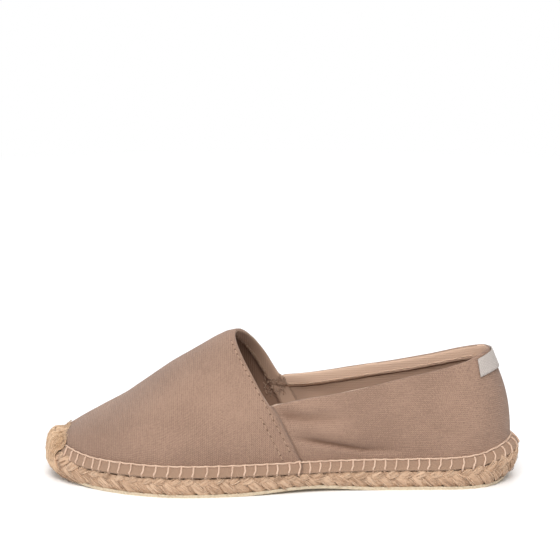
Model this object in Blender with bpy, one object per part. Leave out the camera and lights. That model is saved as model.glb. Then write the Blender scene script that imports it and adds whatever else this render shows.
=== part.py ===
# Espadrille for the left foot: a canvas upper sewn to a braided jute sole with a thin
# rubber outsole. Metres, +Z up, the toe towards -Y and the outer side towards +X.
import math

import bmesh
import bpy
from mathutils import Vector

# Sole, seen from above, measured over the braid.
SOLE_LENGTH = 0.2572
HEEL_WIDTH = 0.0640
WAIST_WIDTH = 0.0680
BALL_WIDTH = 0.0945
TOE_WIDTH = 0.0905
TOE_SWING = 0.0065  # how far the tip lies to the inner side of the heel's middle
HEEL_ROUND = 0.0370  # length of the rounded end
TOE_ROUND = 0.0780
HEEL_POWER = 2.0  # 2 is an ellipse, more is squarer
TOE_POWER = 2.25

# Sole, seen from the side.
OUTSOLE_THICKNESS = 0.0018
ARCH_LIFT = 0.0022
TOE_SPRING = 0.0019
HEEL_SPRING = 0.0028
FOOTBED_HEIGHT = 0.0112
DISH_WIDTH = 0.0090
SIDE_TUCK = 0.0026  # how far the braid's lower edge lies inside its widest line
HEEL_TUCK = 0.0066
TOE_TUCK = 0.0032
BRAID_PITCH = 0.0082
BRAID_RELIEF = 0.0013
STITCH_HEIGHT = 0.0166  # the sewn line along the sides, above the floor
STITCH_HEEL_RISE = 0.0074
STITCH_TOE_RISE = 0.0034

# Upper.
FLANGE_WIDTH = 0.0050  # the hem that lies on the sole's edge, seen from above
FLANGE_DROP = 0.0048
FLANGE_BULGE = 0.12
CANVAS = 0.0013
OVERLAP_STEP = 0.0009  # the vamp lies this much proud of the quarter
OVERLAP_WIDTH = 0.0100
HEM_WIDTH = 0.0085
HEM_STEP = 0.0010
STEP_RAMP = 0.0008
INSTEP_HEIGHT = 0.0825
INSTEP_FROM_TOE = 0.1020
RIDGE_END_FROM_TOE = 0.0125
COLLAR_BACK_HEIGHT = 0.0735
COLLAR_FRONT_HEIGHT = 0.0490
COLLAR_LEAN = 0.0122  # how far the collar's back lies in front of the sewn line
SEAM_FROM_HEEL = 0.1203  # the foot of the vamp's back edge, on the outer side
SEAM_SKEW = 0.0073  # the inner foot lies this much nearer the heel
THROAT_SLANT = 0.0055  # the throat's end lies askew: forwards outside, back inside
THROAT_SLANT_FADE = 0.3

# Small pieces.
INSOLE_THICKNESS = 0.0016
CAP_THICKNESS = 0.0016
CAP_WIDTH = 0.0500  # along the sole's edge
CAP_DROP = 0.0034  # how far it hangs below the canvas
CAP_FILL = 0.0013  # how far it stands out over the sewn line
CAP_SHORT = 0.0048  # its back edge crosses the ridge this far in front of the ridge's end
CAP_SLANT = 0.40  # how far back the edge goes for each metre that it rises
LABEL_WIDTH = 0.0360
LABEL_HEIGHT = 0.0103
LABEL_THICKNESS = 0.0006
LABEL_DROP = 0.0016
GAP = 0.0003
FACET_SAG = 0.0002  # room for a faceted curve that cuts inside its true line

# Station from heel to toe, the width there, its share, and the middle's place as a share
# of TOE_SWING, towards the inner side.
PLAN = (
    (0.00, HEEL_WIDTH, 1.00, 0.00),
    (0.13, HEEL_WIDTH, 1.00, 0.00),
    (0.38, WAIST_WIDTH, 1.00, -0.12),
    (0.55, BALL_WIDTH, 0.885, -0.30),
    (0.69, BALL_WIDTH, 1.00, -0.18),
    (0.80, BALL_WIDTH, 1.01, 0.16),
    (0.91, TOE_WIDTH, 1.00, 0.60),
    (1.00, TOE_WIDTH, 0.94, 1.00),
)
# Stations between which the underside is flat.
HEEL_FLAT = (0.070, 0.290)
TOE_FLAT = (0.610, 0.835)
# Share of the edge from heel to toe, and how much of the heel's or the toe's rise the sewn
# line has there.
HEEL_RIM = ((0.0, 1.0), (0.03, 0.93), (0.065, 0.68), (0.095, 0.46), (0.125, 0.25), (0.19, 0.0))
TOE_RIM = ((0.85, 0.0), (0.885, 0.25), (0.925, 0.70), (0.96, 0.92), (1.0, 1.0))
# Up the braid's side: share of its height, share of the tuck that is left, share of the
# relief, and how far a strand there lies behind its point, in strands.
BRAID = (
    (0.00, 1.00, 0.00, 0.0),
    (0.26, 0.30, 1.00, 0.36),
    (0.56, 0.12, 1.00, 0.0),
    (0.80, 0.00, 1.00, 0.30),
    (1.00, 0.04, 0.55, 0.44),
)
# Along the ridge from the throat to the toe, and its height as a share of INSTEP_HEIGHT.
RIDGE = (
    (0.00, 1.000),
    (0.05, 0.987),
    (0.23, 0.875),
    (0.40, 0.765),
    (0.54, 0.652),
    (0.69, 0.533),
    (0.83, 0.446),
    (0.93, 0.380),
    (1.00, 0.324),
)
# Along the sewn line from the vamp's back edge to the toe: how far along the ridge the
# line over the foot ends, its lean outwards at the start as a share of its rise, how much
# of the rise and of the way inwards its two ends keep straight.
VAMP = (
    (0.00, 0.00, 0.29, 0.68, 0.38),
    (0.20, 0.22, 0.20, 0.66, 0.46),
    (0.42, 0.48, 0.13, 0.62, 0.50),
    (0.60, 0.70, 0.12, 0.60, 0.52),
    (0.76, 0.86, 0.14, 0.58, 0.54),
    (0.88, 0.95, 0.12, 0.56, 0.55),
    (1.00, 1.00, 0.08, 0.55, 0.55),
)
# Along the sewn line from the heel to the vamp's back edge: how much of the fall from the
# collar's back to its front is done, its lean inwards as a share of COLLAR_LEAN, and its
# shift forwards as a share of the seam's.
COLLAR = (
    (0.00, 0.00, 1.00, 0.00),
    (0.14, 0.03, 0.90, 0.03),
    (0.31, 0.18, 0.62, 0.12),
    (0.52, 0.46, 0.28, 0.34),
    (0.71, 0.71, -0.12, 0.58),
    (0.84, 0.86, -0.20, 0.80),
    (1.00, 1.00, 0.00, 1.00),
)
# Outwards and upwards handles of the heel's back, at its foot and at its top, as shares of
# its height.
HEEL_HANDLES = ((0.03, 0.42), (-0.14, 0.34))

SIDE_SAMPLES = 240
QUARTER_COLUMNS = 19
VAMP_COLUMNS = 21
END_CROWDING = 1.3  # over 1 sets the columns closer at heel and toe
WALL_SHARES = (0.0, 0.16, 0.36, 0.58)
TOP_ROWS = 6
CAP_COLUMNS = 10
LABEL_COLUMNS = 6
PLATE_COLUMNS = 36

COLOURS = {
    "canvas": ((0.43, 0.27, 0.19), 0.92),
    "jute": ((0.53, 0.35, 0.23), 0.95),
    "jute_yarn": ((0.61, 0.43, 0.29), 0.95),
    "crepe_rubber": ((0.66, 0.56, 0.38), 0.60),
    "sock_cloth": ((0.56, 0.44, 0.31), 0.95),
    "label_cloth": ((0.76, 0.68, 0.62), 0.85),
}


class Curve:
    # A smooth line through a table's rows, one column against the first. It doesn't
    # overshoot, unless it is round, which takes each row's slope from its neighbours.
    def __init__(self, rows, column=1, is_round=False):
        self.x = [row[0] for row in rows]
        self.y = [row[column] for row in rows]
        last = len(rows) - 1
        step = [self.x[i + 1] - self.x[i] for i in range(last)]
        slope = [(self.y[i + 1] - self.y[i]) / step[i] for i in range(last)]
        self.tangent = [slope[0]] + [0.0] * (last - 1) + [slope[-1]]
        for i in range(1, last):
            if is_round:
                self.tangent[i] = (self.y[i + 1] - self.y[i - 1]) / (step[i - 1] + step[i])
            elif slope[i - 1] * slope[i] > 0:
                near, far = 2 * step[i] + step[i - 1], step[i] + 2 * step[i - 1]
                self.tangent[i] = (near + far) / (near / slope[i - 1] + far / slope[i])

    def __call__(self, x):
        x = min(max(x, self.x[0]), self.x[-1])
        i = max(k for k in range(len(self.x) - 1) if self.x[k] <= x)
        width = self.x[i + 1] - self.x[i]
        t = (x - self.x[i]) / width
        start, end = self.y[i], self.y[i + 1]
        lead, trail = self.tangent[i] * width, self.tangent[i + 1] * width
        return (
            (2 * t**3 - 3 * t**2 + 1) * start
            + (t**3 - 2 * t**2 + t) * lead
            + (3 * t**2 - 2 * t**3) * end
            + (t**3 - t**2) * trail
        )


def ease(t):
    t = min(max(t, 0.0), 1.0)
    return t * t * (3 - 2 * t)


def bezier(points, v):
    a, b, c, d = points
    w = 1 - v
    return a * w**3 + b * (3 * w * w * v) + c * (3 * w * v * v) + d * v**3


def first_part(points, v):
    # The control points of a line's first part, up to v.
    a, b, c, d = points
    ab, bc, cd = a.lerp(b, v), b.lerp(c, v), c.lerp(d, v)
    abc, bcd = ab.lerp(bc, v), bc.lerp(cd, v)
    return a, ab, abc, abc.lerp(bcd, v)


def line_length(points):
    steps = 12
    spots = [bezier(points, k / steps) for k in range(steps + 1)]
    return sum((b - a).length for a, b in zip(spots, spots[1:]))


def rounded_end(reach, power):
    if reach >= 1:
        return 1.0
    return (1 - (1 - max(reach, 0.0)) ** power) ** (1 / power)


half_width_at = Curve([(row[0], row[1] * row[2] / 2) for row in PLAN], is_round=True)
middle_at = Curve([(row[0], -row[3] * TOE_SWING) for row in PLAN], is_round=True)


def across(station):
    # (middle, half width) of the sole at a station from heel to toe.
    from_heel = station * SOLE_LENGTH
    ends = rounded_end(from_heel / HEEL_ROUND, HEEL_POWER)
    ends *= rounded_end((SOLE_LENGTH - from_heel) / TOE_ROUND, TOE_POWER)
    return middle_at(station), half_width_at(station) * ends


class Side:
    # The sole's edge from heel to toe on one side, measured along the edge.
    def __init__(self, sign):
        self.sign = sign
        self.stations, self.spots, self.along = [], [], [0.0]
        for k in range(SIDE_SAMPLES + 1):
            station = (1 - math.cos(math.pi * k / SIDE_SAMPLES)) / 2
            middle, half = across(station)
            self.stations.append(station)
            self.spots.append(Vector((middle + sign * half, (0.5 - station) * SOLE_LENGTH)))
        for a, b in zip(self.spots, self.spots[1:]):
            self.along.append(self.along[-1] + (b - a).length)
        self.length = self.along[-1]

    def place(self, values, share):
        goal = min(max(share, 0.0), 1.0) * self.length
        low, high = 0, SIDE_SAMPLES
        while high - low > 1:
            middle = (low + high) // 2
            low, high = (middle, high) if self.along[middle] <= goal else (low, middle)
        part = (goal - self.along[low]) / (self.along[high] - self.along[low])
        return values[low] * (1 - part) + values[high] * part

    def share_at(self, station):
        k = max(i for i in range(SIDE_SAMPLES) if self.stations[i] <= station)
        part = (station - self.stations[k]) / (self.stations[k + 1] - self.stations[k])
        return (self.along[k] * (1 - part) + self.along[k + 1] * part) / self.length


OUTER, INNER = Side(1), Side(-1)


def side_of(turn):
    # A turn runs once round the edge: 0 at the heel, 1 at the toe and 2 at the heel again,
    # along the outer side first. This gives the side and the share of it.
    turn %= 2.0
    return (OUTER, turn) if turn <= 1 else (INNER, 2 - turn)


def turn_on(side, share):
    return share if side is OUTER else 2 - share


def edge(turn):
    side, share = side_of(turn)
    return side.place(side.spots, share)


def station_of(turn):
    side, share = side_of(turn)
    return side.place(side.stations, share)


def outward(turn):
    nudge = 0.004
    along = edge(turn + nudge) - edge(turn - nudge)
    return Vector((-along.y, along.x)).normalized()


def at_edge(turn, inset, height):
    return (edge(turn) - outward(turn) * inset).to_3d() + Vector((0, 0, height))


def underside(station):
    # Height of the outsole's lower face: flat at the heel and at the ball of the foot.
    if station < HEEL_FLAT[0]:
        return HEEL_SPRING * ((HEEL_FLAT[0] - station) / HEEL_FLAT[0]) ** 2
    if station > TOE_FLAT[1]:
        return TOE_SPRING * ((station - TOE_FLAT[1]) / (1 - TOE_FLAT[1])) ** 2
    if HEEL_FLAT[1] < station < TOE_FLAT[0]:
        part = (station - HEEL_FLAT[1]) / (TOE_FLAT[0] - HEEL_FLAT[1])
        return ARCH_LIFT * math.sin(math.pi * part) ** 2
    return 0.0


def tuck(turn):
    facing = outward(turn).y
    end_tuck = HEEL_TUCK if facing > 0 else TOE_TUCK
    return SIDE_TUCK + (end_tuck - SIDE_TUCK) * facing**2


heel_rim, toe_rim = Curve(HEEL_RIM), Curve(TOE_RIM)


def stitch_height(turn):
    share = side_of(turn)[1]
    return STITCH_HEIGHT + STITCH_HEEL_RISE * heel_rim(share) + STITCH_TOE_RISE * toe_rim(share)


def foot(turn):
    # The sewn line, where the upper's wall meets its hem.
    return at_edge(turn, FLANGE_WIDTH, stitch_height(turn))


SEAM_SHARE = {
    OUTER: OUTER.share_at(SEAM_FROM_HEEL / SOLE_LENGTH),
    INNER: INNER.share_at((SEAM_FROM_HEEL - SEAM_SKEW) / SOLE_LENGTH),
}
ridge_height = Curve(RIDGE)


def ridge_point(part):
    # part runs from 0 at the throat to 1 at the end over the toe.
    from_toe = INSTEP_FROM_TOE + (RIDGE_END_FROM_TOE - INSTEP_FROM_TOE) * part
    middle = middle_at(1 - from_toe / SOLE_LENGTH)
    return Vector((middle, from_toe - SOLE_LENGTH / 2, ridge_height(part) * INSTEP_HEIGHT))


def ridge_slope(part):
    # Rise towards the heel for each metre along the shoe.
    nudge = 0.01
    near, far = ridge_point(max(part - nudge, 0)), ridge_point(min(part + nudge, 1))
    return (near.z - far.z) / (near.y - far.y)


vamp_reach, vamp_lean, vamp_rise, vamp_crown = (Curve(VAMP, column) for column in (1, 2, 3, 4))


def vamp_line(side, part):
    # Control points of the line from the sewn edge over the foot to the ridge, part 0 at
    # the vamp's back edge and 1 at the toe.
    seam = SEAM_SHARE[side]
    turn = turn_on(side, seam + (1 - seam) * part)
    reach = vamp_reach(part)
    start, end = foot(turn), ridge_point(reach)
    over = (end - start).to_2d()
    slant = Vector((0, over.y)) * (1 - ease(part / 0.8))
    rise = end.z - start.z
    lean = outward(turn) * (vamp_lean(part) * rise)
    lift = vamp_rise(part)
    askew = side.sign * THROAT_SLANT * (1 - ease(part / THROAT_SLANT_FADE))
    crown = (over - slant) * vamp_crown(part) + Vector((0, askew))
    return (
        start,
        start + (slant * lift + lean).to_3d() + Vector((0, 0, rise * lift)),
        end - Vector((crown.x, crown.y, crown.y * ridge_slope(reach))),
        end,
    )


def height_on(points, height):
    low, high = 0.0, 1.0
    for _ in range(40):
        middle = (low + high) / 2
        low, high = (middle, high) if bezier(points, middle).z < height else (low, middle)
    return low


def seam_line(side):
    # The vamp's back edge on one side, up to the collar.
    points = vamp_line(side, 0.0)
    return first_part(points, height_on(points, COLLAR_FRONT_HEIGHT))


def axes_at(turn):
    normal = outward(turn)
    ahead = Vector((normal.y, -normal.x))
    return normal, ahead if side_of(turn)[0] is OUTER else -ahead


def local(vector, turn):
    # (outwards, forwards, up) of a vector at a place on the edge.
    normal, ahead = axes_at(turn)
    flat = vector.to_2d()
    return Vector((flat.dot(normal), flat.dot(ahead), vector.z))


def from_local(vector, turn):
    normal, ahead = axes_at(turn)
    return (normal * vector.x + ahead * vector.y).to_3d() + Vector((0, 0, vector.z))


collar_fall, collar_lean, collar_shift = (Curve(COLLAR, column) for column in (1, 2, 3))


def quarter_line(turn):
    # Control points of the line from the sewn edge up to the collar, behind the vamp.
    side, share = side_of(turn)
    part = min(share / SEAM_SHARE[side], 1.0)
    a, b, c, d = seam_line(side)
    seam_turn = turn_on(side, SEAM_SHARE[side])
    to_seam_end = local(d - a, seam_turn)
    start = foot(turn)
    fall = (COLLAR_BACK_HEIGHT - COLLAR_FRONT_HEIGHT) * collar_fall(part)
    height = COLLAR_BACK_HEIGHT - fall - start.z
    front = ease((part - 0.55) / 0.45)
    out = -COLLAR_LEAN * collar_lean(part) * (1 - front) + to_seam_end.x * front
    end = start + from_local(Vector((out, to_seam_end.y * collar_shift(part), height)), turn)
    (low_out, low_up), (high_out, high_up) = HEEL_HANDLES
    low = Vector((low_out, 0, low_up)) * height
    high = Vector((high_out * max(collar_lean(part), 0.0), 0, high_up)) * height
    low = low.lerp(local(b - a, seam_turn), ease(part))
    high = high.lerp(local(d - c, seam_turn), ease(part))
    return start, start + from_local(low, turn), end - from_local(high, turn), end


def flange_section(part):
    # (inwards, downwards) from the edge at the sewn line's height, part 0 at the hem's
    # lower edge and 1 at the sewn line.
    bulge = FLANGE_BULGE * math.sin(math.pi * part)
    return FLANGE_WIDTH * (part - bulge), FLANGE_DROP * (1 - part - bulge)


def flange(turn, part):
    inwards, down = flange_section(part)
    return at_edge(turn, inwards, stitch_height(turn) - down)


class Sheet:
    # A cloth sheet of rows and columns, with what lies outside and inside it at each spot.
    def __init__(self):
        self.spots, self.outer, self.inner, self.faces = [], [], [], []

    def add(self, spot, outer, inner):
        self.spots.append(spot)
        self.outer.append(outer)
        self.inner.append(inner)
        return len(self.spots) - 1

    def join(self, left, right):
        # Both columns run upwards, and left is the one nearer the heel on the outer side.
        for i in range(min(len(left), len(right)) - 1):
            self.faces.append((left[i], left[i + 1], right[i + 1], right[i]))

    def solid(self, name, material):
        # The wall between the sheet moved outwards and the sheet moved inwards.
        bm = bmesh.new()
        sheet = [bm.verts.new(spot) for spot in self.spots]
        for face in self.faces:
            bm.faces.new([sheet[i] for i in face])
        bm.normal_update()
        inside = []
        for vert, depth in zip(sheet, self.inner):
            inside.append(bm.verts.new(vert.co - vert.normal * depth))
        for vert, rise in zip(sheet, self.outer):
            vert.co += vert.normal * rise
        bm.verts.index_update()
        rims = [rim.link_loops[0] for rim in bm.edges if rim.is_boundary]
        ends = [(loop.vert.index, loop.link_loop_next.vert.index) for loop in rims]
        for face in self.faces:
            bm.faces.new([inside[i] for i in reversed(face)])
        for a, b in ends:
            bm.faces.new((sheet[b], sheet[a], inside[a], inside[b]))
        return finish(bm, name, material)


def wall_rows(sheet, turn, points, outer, inner, hem_inner):
    # A column from the hem on the sole up the wall to the hem at the collar's level.
    column = [sheet.add(flange(turn, part), outer, inner) for part in (0.0, 0.5)]
    length = line_length(points)
    hem = max(1 - HEM_WIDTH / length, (1 + WALL_SHARES[-1]) / 2)
    stops = [(share, inner) for share in WALL_SHARES]
    stops += [(hem - STEP_RAMP / length, inner), (hem, hem_inner), (1.0, hem_inner)]
    for share, depth in stops:
        column.append(sheet.add(bezier(points, share), outer, depth))
    return column


def vamp_parts():
    # Where the vamp's columns stand, from its back edge to the last before the toe.
    length = OUTER.length * (1 - SEAM_SHARE[OUTER])
    overlap, ramp = OVERLAP_WIDTH / length, STEP_RAMP / length
    parts = [0.0, overlap]
    for k in range(VAMP_COLUMNS - 1):
        left = (1 - k / (VAMP_COLUMNS - 1)) ** END_CROWDING
        parts.append(1 - (1 - overlap - ramp) * left)
    return parts


def top_level(side, part):
    # Where a vamp line's rows change from the side's to the top's.
    seam = vamp_line(side, 0.0)
    level = height_on(seam, COLLAR_FRONT_HEIGHT)
    return level + (0.5 - level) * ease(part * 2)


def vamp_depth(index):
    # The vamp's inner face, deeper where the quarter's edge lies under it.
    return CANVAS if index < 2 else CANVAS - OVERLAP_STEP


def vamp_column(sheet, side, part, index, ridge):
    points = vamp_line(side, part)
    turn = turn_on(side, SEAM_SHARE[side] + (1 - SEAM_SHARE[side]) * part)
    level = top_level(side, part)
    depth = vamp_depth(index)
    hem = CANVAS + HEM_STEP if index == 0 else depth
    column = wall_rows(sheet, turn, first_part(points, level), OVERLAP_STEP, depth, hem)
    for row in range(1, TOP_ROWS):
        share = level + (1 - level) * row / TOP_ROWS
        column.append(sheet.add(bezier(points, share), OVERLAP_STEP, depth))
    return column + [ridge]


def make_upper():
    sheet = Sheet()
    quarter = []
    for k in range(-QUARTER_COLUMNS, QUARTER_COLUMNS + 1):
        side = INNER if k < 0 else OUTER
        last = SEAM_SHARE[side] - STEP_RAMP / side.length
        turn = turn_on(side, last * (abs(k) / QUARTER_COLUMNS) ** END_CROWDING)
        points = quarter_line(turn)
        quarter.append(wall_rows(sheet, turn, points, 0.0, CANVAS, CANVAS + HEM_STEP))
    parts = vamp_parts()
    ridge = []
    for index, part in enumerate(parts + [1.0]):
        ridge.append(sheet.add(ridge_point(vamp_reach(part)), OVERLAP_STEP, vamp_depth(index)))
    sides = []
    for side in (OUTER, INNER):
        columns = [
            vamp_column(sheet, side, part, index, ridge[index]) for index, part in enumerate(parts)
        ]
        sides.append(columns)
    toe = vamp_column(sheet, OUTER, 1.0, len(parts), ridge[-1])
    outer, inner = sides
    ring = quarter + outer + [toe] + inner[::-1] + quarter[:1]
    for left, right in zip(ring, ring[1:]):
        sheet.join(left, right)
    return sheet.solid("upper", "canvas")


def cut_behind(piece, spot, slant):
    # Takes away what lies behind a slanted plane, and closes the cut.
    bm = bmesh.new()
    bm.from_mesh(piece.data)
    normal = Vector((0, 1, -slant)).normalized()
    parts = bm.verts[:] + bm.edges[:] + bm.faces[:]
    made = bmesh.ops.bisect_plane(
        bm, geom=parts, dist=1e-7, plane_co=spot, plane_no=normal, clear_outer=True
    )
    rim = [part for part in made["geom_cut"] if isinstance(part, bmesh.types.BMEdge)]
    lid = bmesh.ops.holes_fill(bm, edges=rim)["faces"]
    bmesh.ops.triangulate(bm, faces=lid)
    bm.normal_update()
    bm.to_mesh(piece.data)
    bm.free()
    piece.data.set_sharp_from_angle(angle=math.radians(50))


def make_toe_cap():
    # A sector of the vamp's own surface round the toe, just outside it.
    sheet = Sheet()
    inside = OVERLAP_STEP + GAP + FACET_SAG
    outside = inside + CAP_THICKNESS
    half = CAP_WIDTH / 2 / (OUTER.length * (1 - SEAM_SHARE[OUTER]))
    parts = [1 - half * k / CAP_COLUMNS for k in range(CAP_COLUMNS, -1, -1)]
    ridge = [sheet.add(ridge_point(vamp_reach(part)), outside, -inside) for part in parts]
    over_hem, over_vamp = (0.0, 0.33, 0.67, 1.0), (0.46, 0.64, 0.82)

    def column(side, index):
        part = parts[index]
        turn = turn_on(side, SEAM_SHARE[side] + (1 - SEAM_SHARE[side]) * part)
        points = vamp_line(side, part)
        fill = (outward(turn).to_3d() + Vector((0, 0, 1))) * CAP_FILL
        hem, wall = flange(turn, 0.25), bezier(points, 0.28)
        spots = [flange(turn, 0.0) - Vector((0, 0, CAP_DROP)), flange(turn, 0.0)]
        for share in over_hem:
            spots.append(hem.lerp(wall, share) + fill * math.sin(math.pi * share))
        spots += [bezier(points, share) for share in over_vamp]
        return [sheet.add(spot, outside, -inside) for spot in spots] + [ridge[index]]

    outer = [column(OUTER, index) for index in range(len(parts))]
    inner = [column(INNER, index) for index in range(len(parts) - 1)]
    ring = outer + inner[::-1]
    for left, right in zip(ring, ring[1:]):
        sheet.join(left, right)
    cap = sheet.solid("toe_cap", "jute_yarn")
    cut_behind(cap, ridge_point(1.0) - Vector((0, CAP_SHORT, 0)), CAP_SLANT)
    return cap


def collar_turn(reach):
    # The turn at which the collar has gone this far from the middle of its back.
    turn, gone, step = 0.0, 0.0, 0.002
    spot = quarter_line(0.0)[3]
    while gone < reach:
        turn += step
        following = quarter_line(turn)[3]
        gone += (following - spot).length
        spot = following
    return turn


def make_heel_label():
    sheet = Sheet()
    inside = GAP + FACET_SAG
    last = collar_turn(LABEL_WIDTH / 2)
    columns = []
    for k in range(-LABEL_COLUMNS, LABEL_COLUMNS + 1):
        points = quarter_line(last * k / LABEL_COLUMNS)
        length = line_length(points)
        column = []
        for down in (1.0, 0.5, 0.0):
            share = 1 - (LABEL_DROP + LABEL_HEIGHT * down) / length
            column.append(sheet.add(bezier(points, share), inside + LABEL_THICKNESS, -inside))
        columns.append(column)
    for left, right in zip(columns, columns[1:]):
        sheet.join(left, right)
    return sheet.solid("heel_label", "label_cloth")


def ring_solid(name, material, rows):
    # Rings from the underside's inner one, round the outside, to the top's inner one.
    bm = bmesh.new()
    rings = [[bm.verts.new(spot) for spot in row] for row in rows]
    count = len(rings[0])
    for low, high in zip(rings, rings[1:]):
        for k in range(count):
            following = (k + 1) % count
            bm.faces.new((low[k], high[k], high[following], low[following]))
    for ring, turned in ((rings[0], False), (rings[-1], True)):
        for k in range(count // 2):
            corners = [ring[k], ring[k + 1], ring[-k - 1], ring[-k % count]]
            corners = list(dict.fromkeys(corners))
            bm.faces.new(corners[::-1] if turned else corners)
    return finish(bm, name, material)


def rings(columns, spot):
    return [spot(2 * k / columns) for k in range(columns)]


def braid_bottom(turn):
    return underside(station_of(turn)) + OUTSOLE_THICKNESS + GAP + FACET_SAG


def braid_top(turn):
    # Just under the canvas hem's slanted lower edge.
    return stitch_height(turn) - FLANGE_DROP - CANVAS / 2 - GAP - FACET_SAG


def footbed(turn, inwards):
    # The jute's upper face, so far inside the sewn line: a dish with a raised rim.
    rim = stitch_height(turn) - CANVAS - GAP - FACET_SAG
    floor = FOOTBED_HEIGHT + underside(station_of(turn))
    share = min(inwards / DISH_WIDTH, 1.0)
    return at_edge(turn, FLANGE_WIDTH + inwards, rim + (floor - rim) * share)


def make_jute_sole():
    strands = round(OUTER.length / BRAID_PITCH)
    per_strand = 4
    count = 2 * per_strand * strands

    def braid(row):
        share, left, relief, lag = row

        def spot(turn):
            low, high = braid_bottom(turn), braid_top(turn)
            phase = side_of(turn)[1] * strands + lag
            groove = (1 + math.cos(2 * math.pi * phase)) / 2
            inset = tuck(turn) * left + BRAID_RELIEF * relief * (1 - groove)
            return at_edge(turn, inset, low + (high - low) * share)

        return rings(count, spot)

    rows = [braid(row) for row in BRAID]
    ledge = CANVAS + 2 * GAP
    rows.append(rings(count, lambda turn: at_edge(turn, ledge + GAP, braid_top(turn))))
    for inwards in (0.0, DISH_WIDTH):
        rows.append(rings(count, lambda turn, inwards=inwards: footbed(turn, inwards)))
    return ring_solid("jute_sole", "jute", rows)


def make_outsole():
    def sheet_edge(inset, lift):
        return lambda turn: at_edge(turn, inset(turn), underside(station_of(turn)) + lift)

    def inner(turn):
        return tuck(turn) + SIDE_TUCK

    count = 2 * PLATE_COLUMNS
    low = rings(count, sheet_edge(inner, 0.0))
    low_edge = rings(count, sheet_edge(tuck, 0.0))
    top_edge = rings(count, sheet_edge(lambda turn: tuck(turn) * 0.85, OUTSOLE_THICKNESS))
    return ring_solid("outsole", "crepe_rubber", [low, low_edge, top_edge])


def make_insole():
    edge_inset = CANVAS + 2 * GAP
    insets = (DISH_WIDTH, edge_inset)

    def face(inset, lift):
        return lambda turn: footbed(turn, inset) + Vector((0, 0, lift))

    count = 2 * PLATE_COLUMNS
    low = GAP + FACET_SAG
    rows = [rings(count, face(inset, low)) for inset in insets]
    rows += [rings(count, face(inset, low + INSOLE_THICKNESS)) for inset in insets[::-1]]
    return ring_solid("insole", "sock_cloth", rows)


def finish(bm, name, material):
    mesh = bpy.data.meshes.new(name)
    bm.to_mesh(mesh)
    bm.free()
    colour, roughness = COLOURS[material]
    finish_of = bpy.data.materials.new(material)
    finish_of.use_nodes = True
    shader = finish_of.node_tree.nodes["Principled BSDF"]
    shader.inputs["Base Color"].default_value = (*colour, 1)
    shader.inputs["Roughness"].default_value = roughness
    mesh.materials.append(finish_of)
    mesh.shade_smooth()
    mesh.set_sharp_from_angle(angle=math.radians(50))
    piece = bpy.data.objects.new(name, mesh)
    bpy.context.scene.collection.objects.link(piece)
    return piece


def centre(pieces):
    # The origin is the middle of what the shoe covers, on the floor.
    spots = [vert.co for piece in pieces for vert in piece.data.vertices]
    lows = [min(spot[axis] for spot in spots) for axis in range(3)]
    highs = [max(spot[axis] for spot in spots) for axis in range(3)]
    shift = Vector((-(lows[0] + highs[0]) / 2, -(lows[1] + highs[1]) / 2, -lows[2]))
    for piece in pieces:
        for vert in piece.data.vertices:
            vert.co += shift


def main():
    for old in list(bpy.data.objects):
        bpy.data.objects.remove(old)
    makers = (
        make_outsole,
        make_jute_sole,
        make_insole,
        make_upper,
        make_toe_cap,
        make_heel_label,
    )
    centre([make() for make in makers])


main()
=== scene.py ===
import math
import random

import bmesh
import bpy
import numpy as np
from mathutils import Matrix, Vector
from mathutils.bvhtree import BVHTree
from mathutils.noise import noise


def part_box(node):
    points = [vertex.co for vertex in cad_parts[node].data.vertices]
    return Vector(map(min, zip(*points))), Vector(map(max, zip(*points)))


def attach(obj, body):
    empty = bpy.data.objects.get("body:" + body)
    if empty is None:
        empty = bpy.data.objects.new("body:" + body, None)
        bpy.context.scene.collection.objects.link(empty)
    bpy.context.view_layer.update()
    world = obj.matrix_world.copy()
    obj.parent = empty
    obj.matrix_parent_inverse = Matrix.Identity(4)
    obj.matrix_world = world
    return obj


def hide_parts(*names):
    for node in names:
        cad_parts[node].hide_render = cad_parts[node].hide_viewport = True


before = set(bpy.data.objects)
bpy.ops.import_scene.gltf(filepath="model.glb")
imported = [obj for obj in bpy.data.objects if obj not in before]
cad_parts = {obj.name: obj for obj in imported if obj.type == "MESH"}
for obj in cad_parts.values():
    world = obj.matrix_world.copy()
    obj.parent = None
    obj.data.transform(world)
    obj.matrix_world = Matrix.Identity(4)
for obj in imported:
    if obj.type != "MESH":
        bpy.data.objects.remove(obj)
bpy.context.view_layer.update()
mm = 0.001
random.seed(11)


def pick(piece):
    bpy.ops.object.select_all(action="DESELECT")
    piece.select_set(True)
    bpy.context.view_layer.objects.active = piece


def cleanCopy(node, name):
    # The frame's meshes are loose triangles: a copy's doubles are merged and its quads made whole.
    piece = bpy.data.objects.new(name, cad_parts[node].data.copy())
    bpy.context.scene.collection.objects.link(piece)
    piece.data.materials.clear()
    pick(piece)
    bpy.ops.object.mode_set(mode="EDIT")
    bpy.ops.mesh.select_all(action="SELECT")
    bpy.ops.mesh.remove_doubles(threshold=0.002 * mm)
    bpy.ops.mesh.tris_convert_to_quads(face_threshold=math.radians(50), shape_threshold=math.radians(60))
    bpy.ops.object.mode_set(mode="OBJECT")
    return piece


def subdivided(piece, levels):
    pick(piece)
    finer = piece.modifiers.new("finer", "SUBSURF")
    finer.levels = levels
    finer.render_levels = levels
    bpy.ops.object.modifier_apply(modifier=finer.name)
    bpy.ops.object.shade_smooth()


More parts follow.
